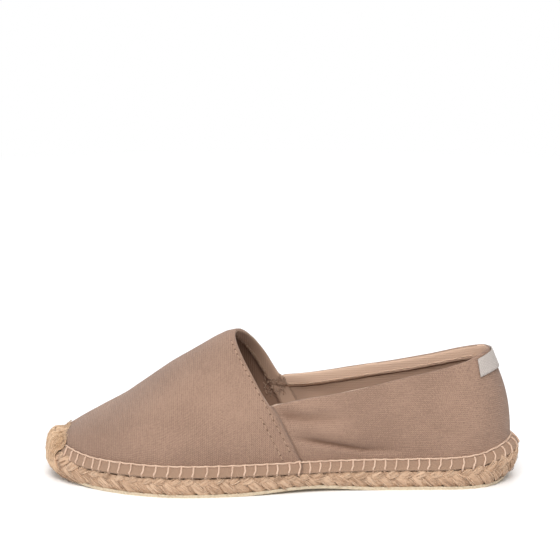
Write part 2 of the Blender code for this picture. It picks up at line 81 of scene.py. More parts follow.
def keepCrisp(piece):
    # Cut edges, the overlap and the sewn line stay crisp, and the rolled collar stays soft.
    bm = bmesh.new()
    bm.from_mesh(piece.data)
    crisp = bm.edges.layers.float.new("crease_edge")
    for edge in bm.edges:
        bend = abs(bendOf(edge))
        isLow = edge.verts[0].co.z < 30 * mm
        isRim = isLow and bend > 1.3 and edge.is_manifold and bendOf(edge) > 0
        if bend > 0.6:
            edge[crisp] = 0.4 if isRim else (0.85 if isLow or bend < 1.05 else 0.25)
    bm.to_mesh(piece.data)
    bm.free()


def creaseAll(piece):
    bm = bmesh.new()
    bm.from_mesh(piece.data)
    crisp = bm.edges.layers.float.new("crease_edge")
    for edge in bm.edges:
        edge[crisp] = 1.0 if abs(bendOf(edge)) > 0.6 else 0.0
    bm.to_mesh(piece.data)
    bm.free()


def treeOf(piece):
    mesh = piece.data
    return BVHTree.FromPolygons([v.co for v in mesh.vertices], [p.vertices for p in mesh.polygons])


def blur(rows, reach):
    # A running mean along a closed ring of rows.
    total = sum(np.roll(rows, k, axis=0) for k in range(-reach, reach + 1))
    return total / (2 * reach + 1)


class Ring:
    # A closed line round the shoe, from the heel along the outer side to the toe and back.
    def __init__(self, spots, step=1.0 * mm, reach=4):
        spots = sorted(spots, key=lambda spot: math.atan2(spot[0], spot[1]) % (2 * math.pi))
        rows = np.array([tuple(spot) for spot in spots] + [tuple(spots[0])])
        along = np.concatenate(([0], np.cumsum(np.linalg.norm(np.diff(rows, axis=0), axis=1))))
        count = int(along[-1] / step)
        goal = np.linspace(0, along[-1], count, endpoint=False)
        rows = np.stack([np.interp(goal, along, rows[:, axis]) for axis in range(3)], axis=1)
        self.rows = blur(blur(rows, reach), reach)
        self.count = count
        self.length = along[-1]

    def at(self, along):
        place = along / self.length * self.count
        low = math.floor(place)
        part = place - low
        spot = self.rows[low % self.count] * (1 - part) + self.rows[(low + 1) % self.count] * part
        return Vector(spot)

    def out(self, along):
        ahead = self.at(along + 3 * mm) - self.at(along - 3 * mm)
        return Vector((-ahead.y, ahead.x, 0)).normalized()


def bendOf(edge):
    # Over 0 where two faces meet as a ridge, under 0 where they meet as a trough.
    return edge.calc_face_angle_signed(0.0)


def endsOf(piece, chosen):
    bm = bmesh.new()
    bm.from_mesh(piece.data)
    ends = {vert for edge in bm.edges if chosen(edge) for vert in edge.verts}
    spots = [tuple(vert.co) for vert in ends]
    bm.free()
    return spots


def ease(t):
    t = min(max(t, 0.0), 1.0)
    return t * t * (3 - 2 * t)


def addNode(tree, kind, settings=None, values=None, links=None):
    made = tree.nodes.new(kind)
    for name, value in (settings or {}).items():
        setattr(made, name, value)
    for name, value in (values or {}).items():
        made.inputs[name].default_value = value
    for name, (source, output) in (links or {}).items():
        tree.links.new(source.outputs[output], made.inputs[name])
    return made


def colour(hexCode):
    # A colour as picked on screen, turned to the linear values that shaders take.
    shares = [int(hexCode[k : k + 2], 16) / 255 for k in (1, 3, 5)]
    linear = [c / 12.92 if c <= 0.04045 else ((c + 0.055) / 1.055) ** 2.4 for c in shares]
    return (*linear, 1.0)


def newMaterial(name, roughness, sheen=0.0):
    made = bpy.data.materials.new(name)
    made.use_nodes = True
    shader = made.node_tree.nodes["Principled BSDF"]
    shader.inputs["Roughness"].default_value = roughness
    shader.inputs["Specular IOR Level"].default_value = 0.25
    shader.inputs["Sheen Weight"].default_value = sheen
    shader.inputs["Sheen Roughness"].default_value = 0.5
    return made, made.node_tree, shader


class Yarns:
    # Many tubes joined in one mesh. Each keeps its own length and girth as a UV map, and a tint.
    def __init__(self):
        self.spots, self.faces, self.uvs, self.tints = [], [], [], []

    def add(self, line, facing, wide, deep, sides=8, plies=0, twist=0.0, relief=0.12, tint=0.5):
        # facing is the way out of the surface at each point, wide and deep are the half axes.
        start, last, along = len(self.spots), len(line) - 1, 0.0
        for k, spot in enumerate(line):
            ahead = (line[min(k + 1, last)] - line[max(k - 1, 0)]).normalized()
            up = facing[k] if isinstance(facing, list) else facing
            flat = ahead.cross(up).normalized()
            up = flat.cross(ahead)
            if k:
                along += (spot - line[k - 1]).length
            w = wide[k] if isinstance(wide, list) else wide
            d = deep[k] if isinstance(deep, list) else deep
            for i in range(sides):
                angle = 2 * math.pi * i / sides
                swell = 1 + relief * math.cos(plies * angle + twist * along) if plies else 1
                across, upward = math.cos(angle) * w * swell, math.sin(angle) * d * swell
                self.spots.append(spot + flat * across + up * upward)
                self.tints.append(tint)
        for k in range(last):
            for i in range(sides):
                j = (i + 1) % sides
                a, b = start + k * sides, start + (k + 1) * sides
                self.faces.append((a + i, a + j, b + j, b + i))
        ends = (start, start + last * sides)
        self.faces.append(tuple(ends[0] + i for i in reversed(range(sides))))
        self.faces.append(tuple(ends[1] + i for i in range(sides)))
        self.uvs.append((start, len(line), sides, max(along, 1e-6), random.random() * 7))

    def piece(self, name, material):
        mesh = bpy.data.meshes.new(name)
        mesh.from_pydata([tuple(spot) for spot in self.spots], [], self.faces)
        mesh.materials.append(material)
        place = np.zeros((len(self.spots), 2))
        for start, rows, sides, length, offset in self.uvs:
            for k in range(rows):
                part = slice(start + k * sides, start + (k + 1) * sides)
                turn = np.arange(sides) / sides
                place[part, 0] = np.abs(turn * 2 - 1)
                place[part, 1] = offset + k / max(rows - 1, 1) * length / mm
        corners = np.zeros(len(mesh.loops), dtype=int)
        mesh.loops.foreach_get("vertex_index", corners)
        layer = mesh.uv_layers.new(name="yarn")
        layer.data.foreach_set("uv", place[corners].astype(np.float32).ravel())
        tint = mesh.attributes.new("tint", "FLOAT", "POINT")
        tint.data.foreach_set("value", np.array(self.tints, dtype=np.float32))
        piece = bpy.data.objects.new(name, mesh)
        bpy.context.scene.collection.objects.link(piece)
        pick(piece)
        bpy.ops.object.mode_set(mode="EDIT")
        bpy.ops.mesh.select_all(action="SELECT")
        bpy.ops.mesh.normals_make_consistent(inside=False)
        bpy.ops.object.mode_set(mode="OBJECT")
        bpy.ops.object.shade_smooth()
        print(f"espadrille: {name} has {sum(len(face) - 2 for face in self.faces)} triangles")
        return piece


def settle(piece, slot, *nodes):
    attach(piece, "root")
    if nodes:
        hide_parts(*nodes)


# Cotton canvas, plain weave, piece dyed: matt, with slubs along the stronger threads.
canvasLook = {
    "threadMm": 1.05,  # real threads are 0.5 mm: drawn twice as coarse so that they show
    "slub": (1.1, 0.13, 1),  # turns per mm: slubs are about 0.9 mm wide and 8 mm long
    "speck": 0.95,  # turns per mm: thick and thin places in single threads
    "patch": 28.0,  # turns per m: uneven dye, about 36 mm across
    "light": "#a28471",
    "dark": "#886d5d",
    # Painted shade in the folds and beside the seam, a paler inner face as painted light, and painted shade
    # deeper inside the shoe.
    "foldShade": "#7a5d4c",
    "insideLight": "#e4c3ab",
    "inside": "#8b6d5a",
    "hem": "#9c7f6a",
}


def canvasMaterial(look):
    made, tree, shader = newMaterial("dyed cotton canvas with painted light and shade", 0.92, 0.12)
    cloth = addNode(tree, "ShaderNodeUVMap", {"uv_map": "cloth"})
    parts = addNode(tree, "ShaderNodeSeparateXYZ", links={0: (cloth, 0)})
    waves = []
    for axis in (0, 1):
        turn = addNode(
            tree,
            "ShaderNodeMath",
            {"operation": "MULTIPLY"},
            {1: 2 * math.pi / look["threadMm"]},
            {0: (parts, axis)},
        )
        waves.append(addNode(tree, "ShaderNodeMath", {"operation": "SINE"}, links={0: (turn, 0)}))
    cross = addNode(
        tree, "ShaderNodeMath", {"operation": "MULTIPLY"}, links={0: (waves[0], 0), 1: (waves[1], 0)}
    )
    ribs = addNode(tree, "ShaderNodeMath", {"operation": "MULTIPLY"}, {1: 0.45}, {0: (waves[0], 0)})
    weave = addNode(tree, "ShaderNodeMath", {"operation": "ADD"}, links={0: (cross, 0), 1: (ribs, 0)})
    streaks = addNode(
        tree, "ShaderNodeMapping", values={"Scale": look["slub"]}, links={"Vector": (cloth, 0)}
    )
    slubs = addNode(
        tree, "ShaderNodeTexNoise", values={"Scale": 1.0, "Detail": 3.0}, links={"Vector": (streaks, 0)}
    )
    specks = addNode(
        tree,
        "ShaderNodeTexNoise",
        values={"Scale": look["speck"], "Detail": 2.0},
        links={"Vector": (cloth, 0)},
    )
    place = addNode(tree, "ShaderNodeTexCoord")
    patches = addNode(
        tree,
        "ShaderNodeTexNoise",
        values={"Scale": look["patch"], "Detail": 3.0},
        links={"Vector": (place, "Object")},
    )
    thick = addNode(tree, "ShaderNodeMath", {"operation": "MULTIPLY"}, {1: 0.7}, {0: (slubs, 0)})
    both = addNode(tree, "ShaderNodeMath", {"operation": "ADD"}, links={0: (thick, 0), 1: (specks, 0)})
    uneven = addNode(tree, "ShaderNodeMath", {"operation": "ADD"}, links={0: (both, 0), 1: (patches, 0)})
    faint = addNode(tree, "ShaderNodeMath", {"operation": "MULTIPLY"}, {1: 0.4}, {0: (weave, 0)})
    woven = addNode(tree, "ShaderNodeMath", {"operation": "ADD"}, links={0: (uneven, 0), 1: (faint, 0)})
    tone = addNode(
        tree, "ShaderNodeMapRange", values={"From Min": 1.16, "From Max": 1.54}, links={"Value": (woven, 0)}
    )
    dyeWithPaintedLightAndShade = addNode(
        tree,
        "ShaderNodeMix",
        {"data_type": "RGBA"},
        {6: colour(look["light"]), 7: colour(look["dark"])},
        {0: (tone, 0)},
    )
    # Each attribute of the mesh lays its own colour over the cloth's: a darker hem strip below the sewn
    # line, painted shade in the folds and beside the seam, a paler inner face as painted light, and painted
    # shade deeper inside the shoe.
    for cover, part in (("hem", "hem"), ("shade", "foldShade"), ("insideLightShare", "insideLight"), ("inside", "inside")):
        share = addNode(tree, "ShaderNodeAttribute", {"attribute_name": cover})
        dyeWithPaintedLightAndShade = addNode(
            tree,
            "ShaderNodeMix",
            {"data_type": "RGBA"},
            {7: colour(look[part])},
            {0: (share, "Fac"), 6: (dyeWithPaintedLightAndShade, 2)},
        )
    tree.links.new(dyeWithPaintedLightAndShade.outputs[2], shader.inputs["Base Color"])
    rough = addNode(tree, "ShaderNodeMath", {"operation": "ADD"}, links={0: (weave, 0), 1: (slubs, 0)})
    bump = addNode(
        tree,
        "ShaderNodeBump",
        values={"Strength": 0.7, "Distance": 0.15 * mm},
        links={"Height": (rough, 0)},
    )
    tree.links.new(bump.outputs[0], shader.inputs["Normal"])
    return made


def fibreMaterial(name, pale, mid, deep, fibre, roughness=0.9):
    # Combed bast fibre in strands: streaks run along each yarn, and each yarn has its own tint.
    made, tree, shader = newMaterial(name, roughness, 0.1)
    yarn = addNode(tree, "ShaderNodeUVMap", {"uv_map": "yarn"})
    combed = addNode(
        tree, "ShaderNodeMapping", values={"Scale": (fibre, 0.16, 1)}, links={"Vector": (yarn, 0)}
    )
    streaks = addNode(
        tree, "ShaderNodeTexNoise", values={"Scale": 1.0, "Detail": 4.0}, links={"Vector": (combed, 0)}
    )
    tint = addNode(tree, "ShaderNodeAttribute", {"attribute_name": "tint"})
    half = addNode(tree, "ShaderNodeMath", {"operation": "MULTIPLY"}, {1: 0.3}, {0: (tint, "Fac")})
    both = addNode(tree, "ShaderNodeMath", {"operation": "ADD"}, links={0: (streaks, 0), 1: (half, 0)})
    ramp = addNode(tree, "ShaderNodeValToRGB", links={"Fac": (both, 0)})
    stops = ramp.color_ramp.elements
    stops[0].position, stops[0].color = 0.42, colour(deep)
    stops[1].position, stops[1].color = 0.92, colour(pale)
    middle = stops.new(0.62)
    middle.color = colour(mid)
    tree.links.new(ramp.outputs[0], shader.inputs["Base Color"])
    bump = addNode(
        tree,
        "ShaderNodeBump",
        values={"Strength": 0.8, "Distance": 0.2 * mm},
        links={"Height": (streaks, 0)},
    )
    tree.links.new(bump.outputs[0], shader.inputs["Normal"])
    return made


def plainNoiseMaterial(name, light, dark, grain, roughness, depth):
    # A surface with an even grain on Object coordinates, its size in metres.
    made, tree, shader = newMaterial(name, roughness)
    place = addNode(tree, "ShaderNodeTexCoord")
    grains = addNode(
        tree,
        "ShaderNodeTexNoise",
        values={"Scale": 1 / grain, "Detail": 4.0},
        links={"Vector": (place, "Object")},
    )
    tone = addNode(
        tree,
        "ShaderNodeMapRange",
        values={"From Min": 0.35, "From Max": 0.65},
        links={"Value": (grains, 0)},
    )
    mixed = addNode(
        tree, "ShaderNodeMix", {"data_type": "RGBA"}, {6: colour(dark), 7: colour(light)}, {0: (tone, 0)}
    )
    tree.links.new(mixed.outputs[2], shader.inputs["Base Color"])
    bump = addNode(
        tree, "ShaderNodeBump", values={"Strength": 0.6, "Distance": depth}, links={"Height": (grains, 0)}
    )
    tree.links.new(bump.outputs[0], shader.inputs["Normal"])
    return made


def wovenMaterial(name, light, dark, thread):
    # Plain-woven cloth on Object coordinates, for flat pieces that lie level or upright.
    made, tree, shader = newMaterial(name, 0.9, 0.1)
    place = addNode(tree, "ShaderNodeTexCoord")
    parts = addNode(tree, "ShaderNodeSeparateXYZ", links={0: (place, "Object")})
    waves = []
    for axis in (0, 1, 2):
        turn = addNode(
            tree, "ShaderNodeMath", {"operation": "MULTIPLY"}, {1: 2 * math.pi / thread}, {0: (parts, axis)}
        )
        waves.append(addNode(tree, "ShaderNodeMath", {"operation": "SINE"}, links={0: (turn, 0)}))
    first = addNode(
        tree, "ShaderNodeMath", {"operation": "ADD"}, links={0: (waves[0], 0), 1: (waves[1], 0)}
    )
    second = addNode(tree, "ShaderNodeMath", {"operation": "ADD"}, links={0: (first, 0), 1: (waves[2], 0)})
    tone = addNode(
        tree, "ShaderNodeMapRange", values={"From Min": -1.6, "From Max": 1.6}, links={"Value": (second, 0)}
    )
    mixed = addNode(
        tree, "ShaderNodeMix", {"data_type": "RGBA"}, {6: colour(dark), 7: colour(light)}, {0: (tone, 0)}
    )
    tree.links.new(mixed.outputs[2], shader.inputs["Base Color"])
    bump = addNode(
        tree,
        "ShaderNodeBump",
        values={"Strength": 0.6, "Distance": 0.1 * mm},
        links={"Height": (second, 0)},
    )
    tree.links.new(bump.outputs[0], shader.inputs["Normal"])
    return made


# The canvas upper: where its seams and throat lie on the CAD piece.
upperCut = {
    "seamFromHeel": 120.3 * mm,  # from the heel to the seam's foot on the outer side
    "seamSkew": 7.3 * mm,  # the inner seam's foot is this much nearer the heel
    "throatSlant": 5.5 * mm,  # the throat's end lies askew, by this much on each side
    "throatRise": 0.33,
    "instepFromToe": 102.0 * mm,
    "instepHeight": 82.5 * mm,
    "seamLean": 0.29,  # these three bend the seam's curve, as shares of its rise and width
    "seamLift": 0.68,
    "seamCrown": 0.38,
    "soleHalf": 128.6 * mm,
}
canvasShape = {
    "broadSlack": 0.35 * mm,  # the cloth's waviness, in swells of 26 mm
    "fineSlack": 0.10 * mm,  # and in swells of 9 mm
    "bulge": 0.22,  # the cloth above a fold stands out by this share of the fold's depth
    "hemDeep": 7.6,  # mm from the collar down to the turned hem's lower edge
    "seamStep": 0.55 * mm,  # the quarter sinks this much beside the vamp's back edge
    "seamStepWide": 2.4 * mm,
}
# Each fold: mm deep, mm of reach above and below its line, and spots (mm towards the heel, mm
# above the floor, share of the depth) along the line.
outerFolds = (
    (
        2.3,
        4.6,
        1.2,
        (
            (1.4, 31.6, 0.1),
            (9.6, 29.6, 0.7),
            (18.4, 27.4, 1.0),
            (33, 23.8, 1.0),
            (42.6, 22.0, 0.8),
            (53.6, 21.0, 0.5),
            (67.4, 20.4, 0.1),
            (78, 20, 0.0),
        ),
    ),
    (
        0.9,
        1.6,
        0.9,
        (
            (8, 30, 0.0),
            (16, 28, 0.7),
            (26, 25.5, 1.0),
            (42.6, 22.0, 1.0),
            (53.6, 21.0, 0.6),
            (66, 20.4, 0.0),
        ),
    ),
    (2.6, 4.2, 3.4, ((-3, 45.5, 0.6), (4, 43.0, 1.0), (14, 41.0, 0.9), (26, 40.0, 0.6), (40, 41, 0.0))),
    (0.8, 6.0, 3.6, ((44, 54, 0.0), (56, 52, 1.0), (70, 50.5, 0.5), (84, 48, 0.0))),
    (0.6, 7.0, 5.0, ((60, 41, 0.0), (76, 37, 1.0), (92, 30, 0.8), (104, 25, 0.0))),
    (0.5, 9.0, 7.0, ((-88, 31, 0.0), (-70, 36, 1.0), (-48, 44, 0.6), (-30, 52, 0.0))),
)
innerFolds = (
    (2.2, 5.0, 1.5, ((8, 33, 0.0), (18, 31, 0.8), (30, 28, 1.0), (44, 25, 0.7), (60, 22, 0.0))),
    (0.8, 5.0, 3.5, ((6, 46, 0.2), (14, 45, 1.0), (30, 46, 0.4), (44, 48, 0.0))),
    (0.4, 7.0, 5.0, ((60, 42, 0.0), (78, 37, 1.0), (98, 30, 0.0))),
)


def foldDepth(folds, y, z):
    # How far the folds push the cloth in at a place on one side, in metres.
    total = 0.0
    for deep, above, below, spots in folds:
        nearest, gap, share = 1e9, 0.0, 0.0
        for (y0, z0, s0), (y1, z1, s1) in zip(spots, spots[1:]):
            part = ((y - y0) * (y1 - y0) + (z - z0) * (z1 - z0)) / ((y1 - y0) ** 2 + (z1 - z0) ** 2)
            part = min(max(part, 0.0), 1.0)
            offY, offZ = y - y0 - (y1 - y0) * part, z - z0 - (z1 - z0) * part
            far = math.hypot(offY, offZ)
            if far < nearest:
                nearest, share = far, s0 + (s1 - s0) * part
                gap = far if offZ > 0 else -far
        reach = above if gap > 0 else below
        total += deep * share * math.exp(-((gap / reach) ** 2))
        if gap > 0:
            total -= canvasShape["bulge"] * deep * share * math.exp(-(((gap - 1.7 * above) / above) ** 2))
    return total * mm


def heartOf(co):
    # A place well inside the shoe near this one: a face that looks away from it is an outer one.
    return Vector((topMiddle * 0.5, min(max(co.y, -90 * mm), 85 * mm), min(co.z, 30 * mm)))


def refineCanvas(piece):
    # More faces on the outer side, for folds and edges, and round the turned hem's edge inside.
    mesh = piece.data
    collar = collarRows([vert.co for vert in mesh.vertices])
    pick(piece)
    bpy.ops.object.mode_set(mode="EDIT")
    bpy.ops.mesh.select_mode(type="FACE")
    bpy.ops.mesh.select_all(action="DESELECT")
    bpy.ops.object.mode_set(mode="OBJECT")
    for polygon in mesh.polygons:
        co = polygon.center
        under = np.interp(co.y / mm, collar[:, 0], collar[:, 1]) - co.z / mm
        isNearHem = abs(under - canvasShape["hemDeep"] - 0.4) < 1.5
        polygon.select = bool(polygon.normal.dot(co - heartOf(co)) > 0 or isNearHem)
    bpy.ops.object.mode_set(mode="EDIT")
    bpy.ops.mesh.subdivide(number_cuts=1, smoothness=0)
    bpy.ops.object.mode_set(mode="OBJECT")


def seamCurve(side, ring, cut):
    # The vamp's back edge from the sewn line up to the throat's tip: side is 1 outer, -1 inner.
    skew = cut["seamSkew"] if side < 0 else 0.0
    footY = cut["soleHalf"] + yShift - cut["seamFromHeel"] + skew
    step = ring.length / ring.count
    spots = [(abs(ring.rows[k][1] - footY), k) for k in range(ring.count) if ring.rows[k][0] * side > 0]
    k = min(spots)[1]
    start, lean = Vector(ring.rows[k]), ring.out(k * step)
    end = Vector((topMiddle, cut["instepFromToe"] - cut["soleHalf"] + yShift, cut["instepHeight"]))
    over, rise = end - start, end.z - start.z
    first = start + Vector((0, over.y, rise)) * cut["seamLift"] + lean * (cut["seamLean"] * rise)
    askew = side * cut["throatSlant"]
    second = end - Vector((over.x * cut["seamCrown"], askew, askew * cut["throatRise"]))
    points = []
    for i in range(161):
        v = i / 160
        w = 1 - v
        points.append(start * w**3 + first * (3 * w * w * v) + second * (3 * w * v * v) + end * v**3)
    return points


print("espadrille: reading the frame")
coarse = cleanCopy("upper", "coarse_upper")
low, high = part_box("upper")
yShift = high.y - upperCut["soleHalf"]
crown = [v.co for v in coarse.data.vertices if v.co.z > high.z - 0.4 * mm]
topMiddle = sum(co.x for co in crown) / len(crown)
sewnRing = Ring(endsOf(coarse, lambda edge: bendOf(edge) < -1.0 and edge.verts[0].co.z < 27 * mm))
print(f"espadrille: sewn line {sewnRing.length / mm:.0f} mm round")

canvas = cleanCopy("upper", "canvas_upper")
keepCrisp(canvas)
subdivided(canvas, 2)
seams = {side: seamCurve(side, sewnRing, upperCut) for side in (1, -1)}


def seamPlace(side, z):
    # How far back the vamp's back edge is at a height, on one side.
    line = seams[side]
    for a, b in zip(line, line[1:]):
        if b.z >= z:
            part = (z - a.z) / max(b.z - a.z, 1e-9)
            return a.y + (b.y - a.y) * min(max(part, 0), 1)
    return line[-1].y


def sewnHeights(ring):
    angles = np.arctan2(ring.rows[:, 0], ring.rows[:, 1]) % (2 * math.pi)
    order = np.argsort(angles)
    return angles[order], ring.rows[order, 2]


sewnAngles, sewnLevels = sewnHeights(sewnRing)


def sewnLevel(x, y):
    return float(np.interp(math.atan2(x, y) % (2 * math.pi), sewnAngles, sewnLevels))


def ridgeRows(points, step=2.0):
    # The highest place of the upper in each slice along the shoe: y, x and z in mm.
    highest = {}
    for co in points:
        key = round(co.y / mm / step)
        if key not in highest or co.z > highest[key].z:
            highest[key] = co
    keys = sorted(key for key in highest if highest[key].y < -0.02)
    rows = np.array([(key * step, highest[key].x / mm, highest[key].z / mm) for key in keys])
    smooth = rows.copy()
    for k in range(len(rows)):
        smooth[k, 1:] = rows[max(k - 3, 0) : k + 4, 1:].mean(axis=0)
    return smooth


def collarRows(points, step=2.0):
    # The collar's height along the shoe, behind the throat: y and z in mm.
    highest = {}
    for co in points:
        key = round(co.y / mm / step)
        if co.y > -5 * mm:
            highest[key] = max(highest.get(key, 0), co.z / mm)
    return np.array([(key * step, highest[key]) for key in sorted(highest)])


def shapeCanvas(piece, look):
    # Folds and slack go into both faces of the cloth, and the cloth's own measure into a UV map.
    mesh = piece.data
    tree = treeOf(piece)
    normals = [v.normal.copy() for v in mesh.vertices]
    rest = [v.co.copy() for v in mesh.vertices]
    inside, insideLightShare, hem, shade = (np.zeros(len(rest)) for _ in range(4))
    collar = collarRows(rest)
    cloth = np.zeros((len(rest), 2))
    ridge = ridgeRows(rest)
    turns = np.unwrap(sewnAngles)
    arcs = np.arange(len(turns)) / len(turns) * sewnRing.length / mm
    arcs = np.where(arcs > arcs[-1] / 2, arcs - arcs[-1], arcs)
    for i, (co, normal) in enumerate(zip(rest, normals)):
        level = sewnLevel(co.x, co.y)
        above = co.z - level
        isOuter = normal.dot(co - heartOf(co)) > 0
        out = normal if isOuter else -normal
        side = 1 if co.x > 0 else -1
        flat = ease((above - 1.5 * mm) / (4 * mm)) * ease(abs(out.x) * 2.2 - 0.35)
        folds = outerFolds if side > 0 else innerFolds
        depth = foldDepth(folds, co.y / mm, co.z / mm) * flat
        depth *= 1 - 0.8 * (1 - ease((co.y - seamPlace(side, co.z)) / (3 * mm))) * (co.y > -20 * mm)
        slack = noise(co / (26 * mm)) * look["broadSlack"]
        slack += noise(co / (9 * mm) + Vector((5, 1, 2))) * look["fineSlack"]
        mesh.vertices[i].co = co + out * (slack * ease(above / (6 * mm)) - depth)
        under = np.interp(co.y / mm, collar[:, 0], collar[:, 1]) - co.z / mm
        behind = co.y - seamPlace(side, co.z)
        # Painted shade on the inner face, from the turned hem's lower edge down, and on the vamp deepest
        # further than 6.5 mm from its back edge. The whole inner face also takes a paler colour as painted
        # light.
        band = 0.7 * ease((under - look["hemDeep"]) / 1.4)
        if behind < 0:
            band = 0.6 + 0.4 * ease((-0.85 * behind / mm - 6.5) / 1.6)
        inside[i] = 0.0 if isOuter else band
        insideLightShare[i] = 0.0 if isOuter else 1.0
        # Painted shade in the fold's trough, darker the deeper the fold.
        shade[i] = min(max(depth, 0) / (3.0 * mm), 1) ** 2.2 if isOuter else 0
        hem[i] = 1 - ease((above + 0.6 * mm) / (1.2 * mm))
        onVamp = co.y < seamPlace(side, co.z) + 0.3 * mm
        if onVamp:
            off = co.x / mm - np.interp(co.y / mm, ridge[:, 0], ridge[:, 1])
            fall = max(np.interp(co.y / mm, ridge[:, 0], ridge[:, 2]) - co.z / mm, 0)
            cloth[i] = co.y / mm, off + math.copysign(fall, off) * min(abs(off) / 6, 1)
        else:
            angle = math.atan2(co.x, co.y) % (2 * math.pi)
            cloth[i] = co.z / mm, arcs[min(np.searchsorted(turns, angle), len(arcs) - 1)]
        # The quarter sinks beside the vamp's back edge, and painted shade darkens that step.
        if isOuter and 0 < behind < look["seamStepWide"] and co.z < 50 * mm:
            mesh.vertices[i].co -= out * (look["seamStep"] * (1 - ease(behind / look["seamStepWide"])))
            shade[i] = max(shade[i], 0.8 * (1 - ease(behind / (1.6 * mm))))
    corners = np.zeros(len(mesh.loops), dtype=int)
    mesh.loops.foreach_get("vertex_index", corners)
    layer = mesh.uv_layers.new(name="cloth")
    layer.data.foreach_set("uv", cloth[corners].astype(np.float32).ravel())
    for name, values in (("inside", inside), ("insideLightShare", insideLightShare), ("hem", hem), ("shade", shade)):
        made = mesh.attributes.new(name, "FLOAT", "POINT")
        made.data.foreach_set("value", values.astype(np.float32))
    mesh.update()


refineCanvas(canvas)
print(f"espadrille: canvas has {len(canvas.data.loops) - 2 * len(canvas.data.polygons)} triangles")
shapeCanvas(canvas, canvasShape)
canvasFinish = canvasMaterial(canvasLook)
canvas.data.materials.append(canvasFinish)
settle(canvas, "canvas", "upper")
canvasTree = treeOf(canvas)
print("espadrille: canvas folded")


# Soft cotton cord for the blanket stitch that ties the canvas to the jute.
blanket = {
    "thick": 1.05 * mm,
    "pitch": (5.4, 6.8, 6.0),  # mm between stitches near the toe, along the vamp, behind the seam
    "reach": 4.75,  # mm out over the hem that each upright runs before it dives into the jute
    "toeLean": 4.6 * mm,  # round the toe the uprights lean back by this much
    "capHalf": 15.0 * mm,  # no stitch shows under the toe guard
    "lay": 2.6 * mm,  # one full turn of its three plies
    "colours": ("#dcc1ab", "#c9aa94", "#a38670"),  # pale, middle and deep
}


def onCanvas(spot, lift):
    hit, normal, _, _ = canvasTree.find_nearest(spot)
    return hit + normal * lift, normal


def onHem(along, inset):
    # The hem's top face, this far out from the sewn line.
    base = sewnRing.at(along)
    out = sewnRing.out(along)
    start = base + out * inset + Vector((0, 0, 1.5 * mm))
    hit, normal, _, _ = canvasTree.ray_cast(start, Vector((0, 0, -1)))
    return hit, normal, out


def toeAlong():
    ys = sewnRing.rows[:, 1]
    return float(np.argmin(ys)) / sewnRing.count * sewnRing.length


def makeBlanketStitch(look, material):
    yarns = Yarns()
    toe, total, radius = toeAlong(), sewnRing.length, look["thick"] / 2
    twist = 2 * math.pi / look["lay"]
    first, last = toe + look["capHalf"], toe - look["capHalf"] + total
    places, along = [], first
    while along < last:
        places.append(along + random.uniform(-0.35, 0.35) * mm)
        fromToe = min(abs(along - toe), abs(along - toe - total))
        near, middle, back = look["pitch"]
        pitch = near if fromToe < 55 * mm else (middle if fromToe < 130 * mm else back)
        along += pitch * mm
    line, facing = [], []
    steps = int((last - first) / (0.75 * mm))
    spots = np.array(places)
    for k in range(steps + 1):
        along = first + (last - first) * k / steps
        gap = np.min(np.abs(spots - along))
        sag = 0.35 * mm * math.sin(min(gap / (3 * mm), 1) * math.pi / 2)
        base, out = sewnRing.at(along), sewnRing.out(along)
        lead = (out + Vector((0, 0, 1))).normalized()
        hit, normal = onCanvas(base + lead * (0.2 * mm), radius * 0.55)
        line.append(hit + lead * (radius * 0.5 + sag * 0.3) - Vector((0, 0, sag)))
        facing.append(lead)
    yarns.add(line, facing, radius, radius, 7, 3, twist, 0.13, 0.6)
    for along in places:
        lean = random.uniform(0.0, 0.7) * mm
        back = -look["toeLean"] * max(-sewnRing.out(along).y, 0)
        lean += back if sewnRing.at(along).x > topMiddle else -back
        hook = random.uniform(0.8, 1.6) * mm
        line, facing = [], []
        for k in range(10):
            part = k / 9
            inset = (0.1 + look["reach"] * part) * mm
            hit, normal, out = onHem(along + lean * part + hook * max(part - 0.72, 0) * 3.2, inset)
            if hit is None:
                break
            up = (normal + out * 0.6).normalized()
            line.append(hit + up * radius * (0.8 if k else 1.1))
            facing.append(up)
        if len(line) > 4:
            down = Vector((0, 0, -1)) - facing[-1] * 0.55
            tail = line[-1] + down.normalized() * (1.3 * mm)
            line.append(tail)
            facing.append(facing[-1])
            line.append(tail + (down - facing[-1] * 1.2).normalized() * (1.2 * mm))
            facing.append(facing[-1])
            tint = random.uniform(0.4, 0.8)
            yarns.add(line, facing, radius * 0.95, radius * 0.9, 7, 3, twist, 0.13, tint)
    return yarns.piece("blanket_stitch", material)


# Loosely twisted cotton: matt and pale, with soft plies that catch the light on their crests.
cordFinish = fibreMaterial("soft twisted cotton cord", *blanket["colours"], 3.0)
blanketStitch = makeBlanketStitch(blanket, cordFinish)
settle(blanketStitch, "jute_yarn")


# Machine stitches in the canvas's own colour, each with its two needle holes in painted shade.
machine = {
    "length": 2.7 * mm,
    "gap": 0.9 * mm,  # from one stitch to the next
    "thick": 0.5 * mm,
    "firstRow": 3.0 * mm,  # from the vamp's back edge
    "secondRow": 8.4 * mm,
    "hemRow": 6.2 * mm,  # below the collar, inside
    "hemEdge": 8.2 * mm,
    "hole": 0.36 * mm,  # half its width
    "lay": 1.2 * mm,
    "seamColours": ("#c2a48f", "#ab8d78", "#8f715c"),
    "hemColours": ("#ecd2bb", "#d6baa2", "#b89a83"),
    "paintedShadeColours": ("#6e5342", "#574031"),
}


def seamRow(side, off, lowest, highest):
    # A line on the vamp's outer face beside its back edge, off metres towards the toe.
    line = []
    for spot in seams[side]:
        if lowest <= spot.z <= highest:
            beside = spot + Vector((0, -0.884, -0.467)) * off
            core = Vector((topMiddle, beside.y, 30 * mm))
            out = (beside - core).normalized()
            hit = canvasTree.ray_cast(beside + out * (8 * mm), -out)[0]
            if hit is not None:
                line.append(hit)
    return line


